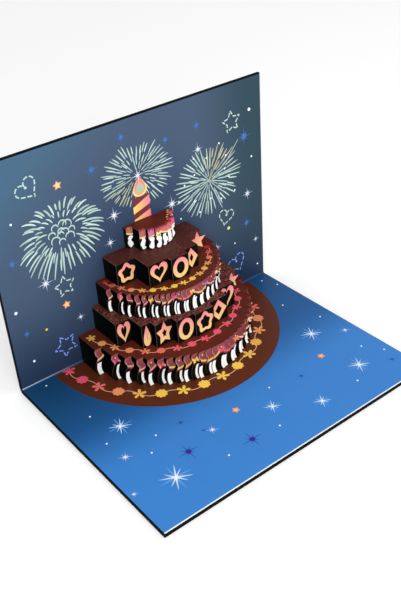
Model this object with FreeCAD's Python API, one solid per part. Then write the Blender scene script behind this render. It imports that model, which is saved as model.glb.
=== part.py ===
"""A birthday pop-up card, stood open at a right angle.

The card is two pieces of folded board. The outer cover is a plain thick board with one
fold. The inner sheet is a thinner printed card glued inside it. Slits and creases in the
sheet push a five-tier cake forward out of its fold: each tier is a level top whose front
edge is cut into steps, and from every step a strip hangs down to the tier below.

Frame: X runs along the fold, Y from the front edge to the back, Z up. The origin is the
centre of the card's footprint, on the surface that it stands on. Lengths in millimetres.
"""
import FreeCAD, Part
import math
import os

from FreeCAD import Vector

# Card
card_width = 200.0
panel_length = 152.0
cover_thickness = 2.0
sheet_thickness = 0.4
sheet_margin = 0.6
fold_radius = 1.0

# Cake: where it stands along the fold, and how high each tier rises
cake_centre = 3.7
tier_rises = {"first": 20.0, "second": 16.5, "third": 16.5, "fourth": 15.0, "fifth": 14.0}

# Top tier, and how much further each tier below reaches to the sides and to the front
fifth_half_width = 17.7
fifth_depth = 16.5
side_ledges = {"fourth": 14.5, "third": 9.8, "second": 5.0, "first": 12.5}
front_ledges = {"fourth": 17.9, "third": 11.6, "second": 6.5, "first": 14.5}

# Depth of the outermost step of each tier
side_depths = {"first": 19.8, "second": 27.0, "third": 13.0, "fourth": 15.4, "fifth": 3.5}

# Number of strips on the tiers whose strips are all of one width
strip_counts = {"first": 26, "third": 28, "fifth": 8}

# Relative widths of the steps on the two tiers that have broad ones, from left to right
broad_steps = {
    "second": (10.5, 6.8, 12.3, 12.6, 14.2, 14.0, 12.6, 11.0),
    "fourth": (13.9, 14.5, 12.7, 10.7, 12.7),
}
fourth_shift = -2.5

# Wavy slits between the strips: the height of each turn as a share of the strip, from its
# foot, and how far each stretch bows to the right as a share of the strip's width
slit_turns = (0.0, 0.54, 0.75, 1.0)
slit_bows = (-0.29, 0.19, -0.16)
wavy_tiers = ("first", "third")

# Stars cut with the last broad steps, so that they stand past them on the right
star_radii = {"second": 6.4, "fourth": 7.0}
star_points = 5
star_waist = 0.45
star_inset = 2.8

# Worked out from the sizes above
front_edge = -panel_length / 2
wall_face = panel_length / 2 - cover_thickness - sheet_thickness
floor_face = cover_thickness + sheet_thickness
tier_names = ("first", "second", "third", "fourth", "fifth")


def folded_board(outer_offset, thickness, inner_radius, margin):
    """A board folded once at a right angle, with a rounded fold, as wide as the card less a margin."""
    back = panel_length / 2 - outer_offset
    bottom = outer_offset
    front = front_edge + margin
    top = panel_length - margin
    outer_radius = inner_radius + thickness
    half_turn = math.sqrt(0.5)
    left = -card_width / 2 + margin

    def point(y, z):
        return Vector(left, y, z)

    centre_y = back - outer_radius
    centre_z = bottom + outer_radius
    outer_arc = Part.Arc(
        point(centre_y, bottom),
        point(centre_y + outer_radius * half_turn, centre_z - outer_radius * half_turn),
        point(back, centre_z),
    )
    inner_arc = Part.Arc(
        point(back - thickness, centre_z),
        point(centre_y + inner_radius * half_turn, centre_z - inner_radius * half_turn),
        point(centre_y, bottom + thickness),
    )
    edges = [
        Part.LineSegment(point(front, bottom), point(centre_y, bottom)).toShape(),
        outer_arc.toShape(),
        Part.LineSegment(point(back, centre_z), point(back, top)).toShape(),
        Part.LineSegment(point(back, top), point(back - thickness, top)).toShape(),
        Part.LineSegment(point(back - thickness, top), point(back - thickness, centre_z)).toShape(),
        inner_arc.toShape(),
        Part.LineSegment(point(centre_y, bottom + thickness), point(front, bottom + thickness)).toShape(),
        Part.LineSegment(point(front, bottom + thickness), point(front, bottom)).toShape(),
    ]
    section = Part.Face(Part.Wire(edges))
    return section.extrude(Vector(card_width - 2 * margin, 0, 0))


def plate(points, height, thickness):
    """A level plate: the outline through (x, y) points, from height - thickness up to height."""
    corners = [Vector(x, y, height - thickness) for x, y in points]
    outline = Part.makePolygon(corners + corners[:1])
    return Part.Face(outline).extrude(Vector(0, 0, thickness))


def even_edges(centre, half_width, count):
    """The edges of strips of one width across a tier."""
    return [centre - half_width + 2 * half_width * i / count for i in range(count + 1)]


def shared_edges(centre, half_width, shares):
    """The edges of steps whose widths are in the given proportion."""
    edges = [centre - half_width]
    for share in shares:
        edges.append(edges[-1] + 2 * half_width * share / sum(shares))
    return edges


def step_depths(edges, centre, half_width, depth, side_depth):
    """How far each step stands out: its outer corner lies on the tier's elliptical outline."""
    outline = half_width / math.sqrt(1 - (side_depth / depth) ** 2)
    depths = []
    for left, right in zip(edges, edges[1:]):
        outer_corner = max(abs(left - centre), abs(right - centre))
        depths.append(depth * math.sqrt(1 - (outer_corner / outline) ** 2))
    return depths


def make_tiers():
    """The five tiers, from the bottom, each with its steps' edges and depths and its two levels."""
    half_widths = {"fifth": fifth_half_width}
    depths = {"fifth": fifth_depth}
    for upper, lower in zip(tier_names[:0:-1], tier_names[-2::-1]):
        half_widths[lower] = half_widths[upper] + side_ledges[lower]
        depths[lower] = depths[upper] + front_ledges[lower]
    tiers = []
    level = floor_face
    for name in tier_names:
        centre = cake_centre + (fourth_shift if name == "fourth" else 0.0)
        if name in broad_steps:
            edges = shared_edges(centre, half_widths[name], broad_steps[name])
        else:
            edges = even_edges(centre, half_widths[name], strip_counts[name])
        tiers.append({
            "name": name,
            "edges": edges,
            "depths": step_depths(edges, centre, half_widths[name], depths[name], side_depths[name]),
            "foot": level,
            "top": level + tier_rises[name],
        })
        level += tier_rises[name]
    return tiers


def slit_edge(x, y, foot, top, bow_unit, wavy):
    """One cut edge of a strip, from its foot up to its top, straight or as three arcs."""
    if not wavy:
        return [Part.LineSegment(Vector(x, y, foot), Vector(x, y, top)).toShape()]
    arcs = []
    for low, high, bow in zip(slit_turns, slit_turns[1:], slit_bows):
        z_low = foot + low * (top - foot)
        z_high = foot + high * (top - foot)
        start = Vector(x, y, z_low)
        middle = Vector(x + bow * bow_unit, y, (z_low + z_high) / 2)
        end = Vector(x, y, z_high)
        arcs.append(Part.Arc(start, middle, end).toShape())
    return arcs


def strip(left, right, depth, foot, top, wavy):
    """One strip of a tier's front, its printed face at the given depth from the back panel."""
    y = wall_face - depth
    low = foot - sheet_thickness
    high = top - sheet_thickness
    width = right - left

    def line(x_a, z_a, x_b, z_b):
        return Part.LineSegment(Vector(x_a, y, z_a), Vector(x_b, y, z_b)).toShape()

    edges = [line(left, low, left, foot)]
    edges += slit_edge(left, y, foot, high, width, wavy)
    edges += [line(left, high, left, top), line(left, top, right, top), line(right, top, right, high)]
    edges += slit_edge(right, y, foot, high, width, wavy)[::-1]
    edges += [line(right, foot, right, low), line(right, low, left, low)]
    face = Part.Face(Part.Wire(edges))
    return face.extrude(Vector(0, sheet_thickness, 0))


def star(tier):
    """A star cut with a tier's last broad step, its side point past the step's edge."""
    radius = star_radii[tier["name"]]
    centre_x = tier["edges"][-1] - star_inset
    centre_z = (tier["foot"] + tier["top"]) / 2
    y = wall_face - tier["depths"][-1]
    corners = []
    for i in range(2 * star_points):
        reach = radius if i % 2 == 0 else radius * star_waist
        angle = math.pi / 2 - math.pi * i / star_points
        corners.append(Vector(centre_x + reach * math.cos(angle), y, centre_z + reach * math.sin(angle)))
    outline = Part.makePolygon(corners + corners[:1])
    return Part.Face(outline).extrude(Vector(0, sheet_thickness, 0))


def tier_top(tier, upper):
    """A tier's level top: steps along its front, and a back edge at the tier above or the back panel."""
    back = wall_face + sheet_thickness
    outline = [(tier["edges"][0], back)]
    for left, right, depth in zip(tier["edges"], tier["edges"][1:], tier["depths"]):
        outline += [(left, wall_face - depth), (right, wall_face - depth)]
    outline.append((tier["edges"][-1], back))
    if upper:
        outline.append((upper["edges"][-1], back))
        steps = list(zip(upper["edges"], upper["edges"][1:], upper["depths"]))
        for left, right, depth in reversed(steps):
            inner_face = wall_face - depth + sheet_thickness
            outline += [(right, inner_face), (left, inner_face)]
        outline.append((upper["edges"][0], back))
    return plate(outline, tier["top"], sheet_thickness)


def floor_opening(tier):
    """What the cake leaves open in the sheet's lower panel, up to the fold."""
    past_fold = wall_face + sheet_thickness + cover_thickness / 2
    outline = [(tier["edges"][0], past_fold)]
    for left, right, depth in zip(tier["edges"], tier["edges"][1:], tier["depths"]):
        inner_face = wall_face - depth + sheet_thickness
        outline += [(left, inner_face), (right, inner_face)]
    outline.append((tier["edges"][-1], past_fold))
    cut_height = 2 * sheet_thickness + fold_radius
    return plate(outline, floor_face + fold_radius, cut_height)


def wall_opening(tier):
    """What one tier leaves open in the sheet's upright panel, from the fold up to its top."""
    left = tier["edges"][0]
    width = tier["edges"][-1] - left
    start = Vector(left, wall_face - fold_radius, 0)
    deep = fold_radius + sheet_thickness + cover_thickness / 2
    return Part.makeBox(width, deep, tier["top"] - sheet_thickness, start)


def make_cover():
    """The outer board, plain and folded once."""
    return folded_board(0.0, cover_thickness, fold_radius + sheet_thickness, 0.0)


def make_pop_up_sheet():
    """The printed inner sheet, with the cake cut and creased out of its fold."""
    tiers = make_tiers()
    sheet = folded_board(cover_thickness, sheet_thickness, fold_radius, sheet_margin)
    openings = [floor_opening(tiers[0])] + [wall_opening(tier) for tier in tiers]
    sheet = sheet.cut(openings)
    folds = []
    for tier, upper in zip(tiers, tiers[1:] + [None]):
        folds.append(tier_top(tier, upper))
        wavy = tier["name"] in wavy_tiers
        for left, right, depth in zip(tier["edges"], tier["edges"][1:], tier["depths"]):
            folds.append(strip(left, right, depth, tier["foot"], tier["top"], wavy))
        if tier["name"] in star_radii:
            folds.append(star(tier))
    return sheet.multiFuse(folds).removeSplitter()


def save(shape, name):
    """Write one piece, after checking that it is a single closed solid."""
    solids = shape.Solids
    if len(solids) != 1 or not solids[0].isValid():
        raise ValueError(f"{name} is not one valid solid, but {len(solids)}")
    solids[0].exportStep(f"parts/{name}.step")
    print(name, "volume", round(solids[0].Volume, 2), "faces", len(solids[0].Faces))


os.makedirs("parts", exist_ok=True)
save(make_cover(), "cover")
save(make_pop_up_sheet(), "pop_up_sheet")
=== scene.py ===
"""Pop-up cake card, stood open: the printed inner sheet, its five folded tiers, and the print on them.

Lengths in this file are millimetres until a piece is made, and metres in the finished meshes. A face of
the card is described by its own two directions: x along the fold, and height on the upright panel, or
depth, measured from the upright panel's printed face, on the lower panel and the tiers' tops.
"""

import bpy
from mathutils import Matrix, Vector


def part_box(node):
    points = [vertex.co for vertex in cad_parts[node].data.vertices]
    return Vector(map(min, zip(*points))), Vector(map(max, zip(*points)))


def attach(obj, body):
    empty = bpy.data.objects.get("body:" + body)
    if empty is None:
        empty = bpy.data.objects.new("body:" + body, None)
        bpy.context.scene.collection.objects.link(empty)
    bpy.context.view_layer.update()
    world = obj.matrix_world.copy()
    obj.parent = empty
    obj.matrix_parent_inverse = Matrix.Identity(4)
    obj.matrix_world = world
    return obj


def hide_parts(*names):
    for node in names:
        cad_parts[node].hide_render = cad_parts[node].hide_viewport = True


bl_info = {
    "name": "Pop-Up Cake Card",
    "version": (1, 0, 0),
    "blender": (4, 5, 0),
    "location": "View3D > Sidebar > Card",
    "description": "Builds a folded greeting card with a pop-up cake, and the stage around it",
    "category": "Object",
}

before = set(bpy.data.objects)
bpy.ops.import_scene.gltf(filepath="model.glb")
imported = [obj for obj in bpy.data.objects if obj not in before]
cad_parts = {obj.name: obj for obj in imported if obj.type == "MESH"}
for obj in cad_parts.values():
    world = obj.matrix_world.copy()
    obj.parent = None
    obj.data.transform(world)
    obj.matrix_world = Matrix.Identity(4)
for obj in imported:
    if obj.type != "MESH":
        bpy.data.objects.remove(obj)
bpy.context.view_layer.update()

import math

import bmesh
import bpy
import numpy as np
from bpy.props import FloatProperty, FloatVectorProperty, IntVectorProperty, PointerProperty
from mathutils import Matrix, Vector

MM = 0.001
TIERS = ("first", "second", "third", "fourth", "fifth")
SHEET_NODE = "pop_up_sheet"
COVER_NODE = "cover"
BODY = "root"

# The CAD sheet's lowest and highest corner, in millimetres
SHEET_LOW, SHEET_HIGH = (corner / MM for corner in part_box(SHEET_NODE))

# Relative widths of the broad steps, from left to right, as they are cut
BROAD_STEPS = {
    "second": (10.5, 6.8, 12.3, 12.6, 14.2, 14.0, 12.6, 11.0),
    "fourth": (13.9, 14.5, 12.7, 10.7, 12.7),
}

# Wavy slits: the turns as shares of a strip's height, and each stretch's bow as a share of its width
SLIT_TURNS = (0.0, 0.54, 0.75, 1.0)
SLIT_BOWS = (-0.29, 0.19, -0.16)
WAVY_TIERS = ("first", "third")

# The turn of the large twinkles' crosses on the lower panel, in radians
FLARE_TURN = 0.49

# How much higher each line of a firework lies than the last, in layers of ink
LINE_LIFT = 0.015

# How strong a noise shows as a speck on the broad-stepped tiers' tops: from nothing to all
SPECK_LIMITS = {"second": (0.5, 0.62), "fourth": (0.56, 0.8)}


def ink(red, green, blue):
    """A printed colour: 0 to 255 as it is seen, changed to the linear 0 to 1 that a shader takes."""
    seen = np.array((red, green, blue)) / 255.0
    linear = np.where(seen <= 0.04045, seen / 12.92, ((seen + 0.055) / 1.055) ** 2.4)
    return tuple(float(value) for value in linear)


# The inks of the small print
PINK = ink(242, 90, 116)
SALMON = ink(238, 118, 98)
ORANGE = ink(246, 156, 100)
YELLOW = ink(250, 206, 80)
OCHRE = ink(238, 184, 88)
LIME = ink(226, 234, 116)
PEACH = ink(250, 206, 150)
MAGENTA = ink(226, 70, 130)
VIOLET = ink(176, 110, 200)
VINE = ink(236, 176, 146)
RED = ink(196, 44, 62)
MINT = ink(178, 204, 192)
STRAW = ink(184, 182, 144)
STAR_WHITE = ink(246, 250, 255)
WHITE = (1.0, 1.0, 1.0)
STAR_BLUE = ink(70, 114, 180)
PALE_BLUE = ink(122, 154, 232)
DEEP_BLUE = ink(22, 50, 130)
DEEP_RAY = ink(34, 76, 150)
PURPLE = ink(66, 28, 150)
ICING = ink(150, 78, 78)
ICING_LIGHT = ink(200, 144, 150)
ICING_DARK = ink(92, 36, 36)
ICING_DEEP = ink(112, 44, 44)
CREAM = ink(255, 255, 252)
MAROON = ink(112, 50, 62)
TOP_ICINGS = (ink(176, 122, 84), ink(188, 110, 104), ink(204, 118, 164), ink(190, 100, 104),
              ink(196, 108, 108), ink(198, 108, 110), ink(206, 100, 138), ink(200, 90, 120))
# Painted shadow along the main fold, and a painted highlight on it at its left end
FOLD_SHADOW = ink(46, 66, 96)
FOLD_HIGHLIGHT = ink(140, 160, 188)
NIGHT_GLOW = ink(76, 98, 126)
GROUND_GLOW = ink(62, 132, 208)
WALL_RAY = ink(150, 166, 200)
BLUE_RAY = ink(60, 92, 140)
GHOST_RAY = ink(112, 176, 232)
GROUND_RAY = ink(128, 176, 232)
GOLD = ink(248, 200, 104)
BLUSH = ink(240, 160, 150)
TOP_DRIP = ink(186, 62, 74)
TOP_EDGE = ink(196, 66, 80)
TOP_BOW = ink(244, 222, 132)
SHAFT_LEFT = ink(252, 214, 96)
SHAFT_RIGHT = ink(246, 122, 146)
FLAME_HEART = ink(140, 196, 170)

# The flame's drops from the outside in: width, height, rise and ink
FLAME_DROPS = ((11.2, 13.4, 0.0, ink(252, 218, 128)), (9.2, 12.2, 0.6, ink(236, 130, 136)),
               (7.6, 8.2, -0.9, ink(214, 170, 134)))


def number(name, description, default, **more):
    return FloatProperty(name=name, description=description, default=default, **more)


def per_tier(name, description, *values):
    return FloatVectorProperty(name=name, description=description, size=5, default=values)


def colour(name, description, red, green, blue):
    return FloatVectorProperty(name=name, description=description, subtype="COLOR",
                               default=ink(red, green, blue))


class CardSizes(bpy.types.PropertyGroup):
    """Sizes of the card, in millimetres. The tiers' values run from the bottom up."""
    sheet_thickness: number("Sheet thickness", "Thickness of the printed inner sheet", 0.4, min=0.1)
    fold_radius: number("Fold radius", "Inner radius of the sheet's main fold", 1.0, min=0.1)
    cake_centre: number("Cake centre", "Place of the cake along the fold", 3.7)
    fourth_shift: number("Fourth tier shift", "How far the fourth tier stands to the right", -2.5)
    tier_rises: per_tier("Tier rises", "Height of each tier", 20.0, 16.5, 16.5, 15.0, 14.0)
    tier_half_widths: per_tier("Tier half widths", "Half the width of each tier",
                               59.5, 47.0, 42.0, 32.2, 17.7)
    tier_depths: per_tier("Tier depths", "Reach of each tier's middle from the upright panel",
                          67.0, 52.5, 46.0, 34.4, 16.5)
    side_depths: per_tier("Side depths", "Reach of each tier's outermost step",
                          19.8, 27.0, 13.0, 15.4, 3.5)
    strip_counts: IntVectorProperty(
        name="Strip counts", description="Strips of one width on each tier, or 0 for broad steps", size=5,
        default=(26, 0, 28, 0, 8))
    ink_thickness: number("Ink thickness", "Height of one layer of ink over the card", 0.03, min=0.005)
    plate_centre: number("Plate centre", "Place of the printed cake plate along the fold", 3.0)
    plate_half_width: number("Plate half width", "Half the width of the printed cake plate", 80.0)
    plate_depth: number("Plate depth", "Reach of the printed cake plate from the upright panel", 86.0)
    motif_stroke: number("Motif stroke", "Width of the line of the shapes on the broad steps", 2.8)
    motif_margin: number("Motif margin", "Bare edge left round the shapes on the broad steps", 1.0)
    star_inset: number("Star inset", "How far inside a tier's side its cut-out star stands", 2.8)
    edge_wear: number("Edge wear", "Width of the bare core along the front edge", 0.5)
    vine_width: number("Vine width", "Width of the line that joins the printed flowers", 0.55)


class CardColours(bpy.types.PropertyGroup):
    """Colours of the card, as linear values."""
    night: colour("Night", "Middle of the upright panel", 67, 84, 106)
    # Painted shade: the upright panel darker beside the fold
    night_fold_shade: colour("Night low", "Upright panel, beside the fold", 35, 51, 77)
    night_corner: colour("Night corner", "Upright panel, upper left", 66, 97, 122)
    # Painted shadow of the cake on the upright panel, darkest behind its middle
    night_cake_shadow: colour("Night shade", "Upright panel, behind the cake", 42, 58, 85)
    night_edge: colour("Night edge", "Upright panel, right edge", 39, 64, 75)
    ground_dark: colour("Ground near fold", "Lower panel, beside the fold", 22, 66, 106)
    ground_middle: colour("Ground half way", "Lower panel, beside the plate", 32, 92, 154)
    ground_bright: colour("Ground at front", "Lower panel, front half", 60, 130, 206)
    chocolate: colour("Chocolate", "Tops of the striped tiers", 94, 36, 24)
    truffle: colour("Truffle", "Tops of the broad-stepped tiers", 78, 35, 28)
    truffle_speck: colour("Truffle speck", "Specks on the broad-stepped tiers' tops", 150, 88, 74)
    plate: colour("Plate", "Printed cake plate", 92, 41, 21)
    glaze: colour("Glaze", "Near-black front of the tiers", 13, 13, 9)
    back: colour("Sheet back", "Unprinted side of the sheet", 9, 13, 12)
    core: colour("Core", "Cut edge of the broad steps", 100, 90, 80)
    strip_core: colour("Strip core", "Cut edge of the narrow strips", 74, 60, 52)
    panel_core: colour("Panel core", "Cut edge of the panels", 240, 246, 246)
    board: colour("Board", "Outer cover board", 8, 12, 11)
    motif_top: colour("Motif top", "Upper colour of the shapes on the steps", 240, 128, 142)
    motif_foot: colour("Motif foot", "Lower colour of the shapes on the steps", 252, 212, 134)


class StageSettings(bpy.types.PropertyGroup):
    """The camera and the light."""
    focal_pixels: number("Focal length", "Focal length in pixels of the picture", 845.8)
    picture_size: IntVectorProperty(
        name="Picture size", description="Width and height of the picture in pixels", size=2,
        default=(401, 601))
    azimuth: number("Azimuth", "Camera's turn about the card", math.radians(-36.0), subtype="ANGLE")
    elevation: number("Elevation", "Camera's height over the horizon", math.radians(33.9), subtype="ANGLE")
    roll: number("Roll", "Camera's lean", math.radians(-4.0), subtype="ANGLE")
    camera_place: FloatVectorProperty(
        name="Camera place", description="Camera, from the fold's middle on the printed face, in mm", size=3,
        default=(-247.0, -396.4, 331.4))
    key_power: number("Key light", "Power of the large soft lamp", 12.0, subtype="POWER")
    fill_power: number("Fill light", "Power of the lamp from the right", 2.5, subtype="POWER")
    sky_light: number("Sky light", "Strength of the even light all round", 0.77)
    floor_colour: colour("Floor", "Colour of the stage's floor", 252, 252, 252)
    floor_lift: number("Floor lift", "How much whiter the camera sees the floor", 0.1)


def sizes():
    return bpy.context.scene.card_sizes


def colours():
    return bpy.context.scene.card_colours


def wall_y():
    """The upright panel's printed face, as a y in mm."""
    return SHEET_HIGH.y - sizes().sheet_thickness


def floor_z():
    """The lower panel's printed face, as a z in mm."""
    return SHEET_LOW.z + sizes().sheet_thickness


def tier_plan():
    """Each tier's edges, depths, foot and top.

    A step's outer corner lies on an ellipse about the cake's centre: its depth is the tier's depth times
    the root of 1 less the square of the corner's share of the ellipse's half width."""
    plan = {}
    foot = 0.0
    for index, name in enumerate(TIERS):
        centre = sizes().cake_centre + (sizes().fourth_shift if name == "fourth" else 0.0)
        half = sizes().tier_half_widths[index]
        depth = sizes().tier_depths[index]
        if name in BROAD_STEPS:
            widths = np.array(BROAD_STEPS[name])
        else:
            widths = np.ones(sizes().strip_counts[index])
        edges = centre - half + 2 * half * np.concatenate(([0.0], np.cumsum(widths))) / widths.sum()
        outline = half / math.sqrt(1 - (sizes().side_depths[index] / depth) ** 2)
        corners = np.maximum(abs(edges[:-1] - centre), abs(edges[1:] - centre))
        plan[name] = {
            "name": name,
            "edges": edges,
            "depths": depth * np.sqrt(1 - (corners / outline) ** 2),
            "foot": foot,
            "rise": sizes().tier_rises[index],
            "top": foot + sizes().tier_rises[index],
        }
        foot += sizes().tier_rises[index]
    return plan


def slit_offset(share):
    """How far a wavy slit stands to the right of straight, as a share of a strip's width.

    Each stretch between two turns is a parabola: four times its bow, times the share of the stretch
    that lies below the point, times the share that lies above it."""
    share = np.asarray(share, float)
    offset = np.zeros_like(share)
    for low, high, bow in zip(SLIT_TURNS, SLIT_TURNS[1:], SLIT_BOWS):
        inside = (share >= low) & (share <= high)
        along = (share - low) / (high - low)
        offset = np.where(inside, 4 * bow * along * (1 - along), offset)
    return offset


def depth_at(tier, x):
    """The tier's depth at each x, 0 outside its width."""
    column = np.searchsorted(tier["edges"], x) - 1
    inside = (column >= 0) & (column < len(tier["depths"]))
    return np.where(inside, tier["depths"][np.clip(column, 0, len(tier["depths"]) - 1)], 0.0)


def stacked(*coordinates):
    """Rows of points or faces from their columns, any of which may be one number for all rows."""
    return np.stack(np.broadcast_arrays(*coordinates), 1)


# Places: each takes (n, 2) points on a face and a lift from it, and gives (n, 3) points in mm

def on_wall(points, lift=0.0):
    """Points as x and height on the upright panel."""
    return stacked(points[:, 0], wall_y() - lift, floor_z() + points[:, 1])


def on_floor(points, lift=0.0):
    """Points as x and depth on the lower panel."""
    return stacked(points[:, 0], wall_y() - points[:, 1], floor_z() + lift)


def on_top(tier):
    """Points as x and depth on a tier's top."""
    def place(points, lift=0.0):
        return stacked(points[:, 0], wall_y() - points[:, 1], floor_z() + tier["top"] + lift)
    return place


def on_strip(tier, index):
    """Points as shares of the strip's width and height, which follow its wavy slits."""
    left, right = tier["edges"][index:index + 2]

    def place(points, lift=0.0):
        across = points[:, 0] + (slit_offset(points[:, 1]) if tier["name"] in WAVY_TIERS else 0.0)
        height = floor_z() + tier["foot"] + tier["rise"] * points[:, 1]
        return stacked(left + (right - left) * across, wall_y() - tier["depths"][index] - lift, height)
    return place


def on_step(tier, index):
    """Points in mm from the middle of a broad step's front, at half its height."""
    middle = (tier["edges"][index] + tier["edges"][index + 1]) / 2

    def place(points, lift=0.0):
        height = floor_z() + tier["foot"] + tier["rise"] / 2 + points[:, 1]
        return stacked(middle + points[:, 0], wall_y() - tier["depths"][index] - lift, height)
    return place


# Outlines: closed rows of (n, 2) points

def full_turn(count):
    return np.linspace(0, 2 * np.pi, count, endpoint=False)


def polar(radius, centre=(0.0, 0.0), turn=0.0, count=40):
    """A closed outline whose distance from its centre is a function of the angle."""
    angle = full_turn(count)
    reach = radius(angle)
    return stacked(centre[0] + reach * np.cos(angle + turn), centre[1] + reach * np.sin(angle + turn))


def ellipse(centre, half_width, half_height, count=14):
    """An ellipse's outline."""
    angle = full_turn(count)
    return stacked(centre[0] + half_width * np.cos(angle), centre[1] + half_height * np.sin(angle))


def disc(radius, centre=(0.0, 0.0), count=16):
    """A round outline."""
    return ellipse(centre, radius, radius, count)


def star_outline(radius, waist=0.45, centre=(0.0, 0.0), turn=0.0):
    """A five-pointed star: points at the radius and, between them, notches at the waist's share of it."""
    corner = np.arange(10)
    angle = np.pi / 2 + turn - np.pi * corner / 5
    reach = np.where(corner % 2 == 0, radius, radius * waist)
    return stacked(centre[0] + reach * np.cos(angle), centre[1] + reach * np.sin(angle))


def heart_outline(width, centre=(0.0, 0.0), count=36):
    """A heart: x is the cube of a sine, and y a sum of four cosines, of one turning angle."""
    angle = full_turn(count)
    y = 13 * np.cos(angle) - 5 * np.cos(2 * angle) - 2 * np.cos(3 * angle) - np.cos(4 * angle)
    return np.array(centre) + stacked(16 * np.sin(angle) ** 3, y + 2.5) * width / 32


def drop_outline(width, height, centre=(0.0, 0.0), count=32):
    """A drop with its tip up: the width is a sine times a growing share of the height."""
    angle = full_turn(count)
    x = 0.5 * width * np.sin(angle) * np.sin(angle / 2) ** 1.3 * 1.25
    return np.array(centre) + stacked(x, 0.5 * height * np.cos(angle))


def petal(centre, angle, length, width):
    """One petal: an oval, wider at its tip, whose near end lies at the flower's centre."""
    turn = full_turn(12)
    along = length / 2 * (1 + np.cos(turn))
    aside = width / 2 * np.sin(turn) * (1 + 0.45 * np.cos(turn))
    tip, side = (math.cos(angle), math.sin(angle)), (-math.sin(angle), math.cos(angle))
    return np.array(centre) + np.outer(along, tip) + np.outer(aside, side)


def turned(points, angle, centre):
    """Points turned about a centre, counter-clockwise."""
    across, up = (points - np.array(centre, float)).T
    cosine, sine = math.cos(angle), math.sin(angle)
    return np.array(centre) + stacked(cosine * across - sine * up, sine * across + cosine * up)


def between(x, low, high):
    """The outline of the area between two lines over the same row of x."""
    return np.concatenate([stacked(x, low), stacked(x, high)[::-1]])


def band(path, widths):
    """The outline of a line drawn along a path: each point moved to both sides by half the line's width."""
    path = np.asarray(path, float)
    along = np.gradient(path, axis=0)
    along /= np.linalg.norm(along, axis=1)[:, None] + 1e-9
    side = stacked(-along[:, 1], along[:, 0]) * np.broadcast_to(widths, len(path))[:, None] / 2
    return np.concatenate([path - side, (path + side)[::-1]])


def tapered(count, width, start=0.15, end=0.1):
    """Widths of a brush line: thin at both ends, widest a third of the way along."""
    share = np.linspace(0, 1, count)
    bulge = np.sin(np.pi * share ** 0.75) ** 0.7
    return width * (start * (1 - share) + end * share + (1 - start) * bulge)


def lengths_along(path):
    """The length of a path up to each of its points."""
    return np.concatenate([[0.0], np.cumsum(np.linalg.norm(np.diff(path, axis=0), axis=1))])


def mixed(first, second, share):
    """The ink between two inks at a share, or at each share of a row."""
    share = np.asarray(share, float)[..., None]
    return (1 - share) * np.array(first) + share * np.array(second)


def fading(centre, reach, near, far):
    """A function that gives each point its ink, from near at the centre to far at the reach."""
    def shade(points):
        share = np.linalg.norm(points - np.array(centre, float), axis=1) / reach
        return mixed(near, far, np.clip(share, 0, 1))
    return shade


class Print:
    """Ink shapes gathered into one mesh. Each is a thin closed film that stands a little over its face."""

    def __init__(self):
        self.points = []
        self.faces = []
        self.shades = []
        self.count = 0

    def film(self, place, outline, tint, layer):
        """A film's upper and lower points, and its inks. tint is one ink, or a function that gives an ink
        for each point."""
        shades = np.asarray(tint(outline) if callable(tint) else [tint] * len(outline), float)
        thickness = sizes().ink_thickness
        return place(outline, thickness * (layer + 1)), place(outline, -thickness), shades

    def add(self, top, low, shades, faces):
        self.faces += [[corner + self.count for corner in face] for face in faces]
        self.points += [top, low]
        self.shades += [shades, shades]
        self.count += 2 * len(top)

    def fill(self, place, outline, tint, layer=0):
        """A filled outline."""
        top, low, shades = self.film(place, np.asarray(outline, float), tint, layer)
        if facing(top, top - low) < 0:
            top, low, shades = top[::-1], low[::-1], shades[::-1]
        n = len(top)
        here, following = around(n)
        sides = stacked(here + n, following + n, following, here)
        self.add(top, low, shades, [list(range(n)), list(range(2 * n - 1, n - 1, -1))] + sides.tolist())

    def ring(self, place, outer, inner, tint, layer=0):
        """The ink between two closed outlines with as many points each, such as a drawn heart."""
        top, low, shades = self.film(place, np.concatenate([outer, inner]), tint, layer)
        n = len(outer)
        here, following = around(n)
        faces = np.concatenate([
            stacked(here, following, following + n, here + n),
            stacked(here + 3 * n, following + 3 * n, following + 2 * n, here + 2 * n),
            stacked(here + 2 * n, following + 2 * n, following, here),
            stacked(here + n, following + n, following + 3 * n, here + 3 * n),
        ])
        if facing(top[:n], top[:n] - low[:n]) < 0:
            faces = faces[:, ::-1]
        self.add(top, low, shades, faces.tolist())

    def line(self, place, path, widths, tint, layer=0):
        """A line along a path."""
        self.fill(place, band(path, widths), tint, layer)

    def make(self, name, gloss=0.42):
        """The finished piece."""
        obj = new_piece(name, np.concatenate(self.points), self.faces, [ink_material(gloss)])
        shades = np.concatenate(self.shades)
        layer = obj.data.color_attributes.new("ink", "FLOAT_COLOR", "POINT")
        layer.data.foreach_set("color", np.c_[shades, np.ones(len(shades))].ravel())


def around(count):
    """The numbers of a closed row's points, and the number of the point after each."""
    here = np.arange(count)
    return here, np.roll(here, -1)


def facing(outline, lift):
    """Above 0 if the outline turns counter-clockwise as seen from the side that it is lifted to."""
    normal = np.cross(outline, np.roll(outline, -1, axis=0)).sum(0)
    return float(normal @ lift[0])


def grid_surface(columns, rows, keep, place):
    """Points and quads of a rectangular grid, with only the cells that keep says and the points they use."""
    u, v = np.meshgrid(columns, rows)
    points = place(u.ravel(), v.ravel())
    width = len(columns)
    row, column = np.nonzero(keep)
    corner = row * width + column
    quads = stacked(corner, corner + 1, corner + width + 1, corner + width)
    used, quads = np.unique(quads, return_inverse=True)
    return points[used], quads.reshape(-1, 4)


def middles(values):
    return (values[1:] + values[:-1]) / 2


def joined(surfaces):
    """Several surfaces as one: their points, their faces and the material of each face."""
    before = np.cumsum([0] + [len(points) for points, _, _ in surfaces])
    return (np.concatenate([points for points, _, _ in surfaces]),
            np.concatenate([faces + count for (_, faces, _), count in zip(surfaces, before)]),
            np.concatenate([np.full(len(faces), slot) for _, faces, slot in surfaces]))


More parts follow.
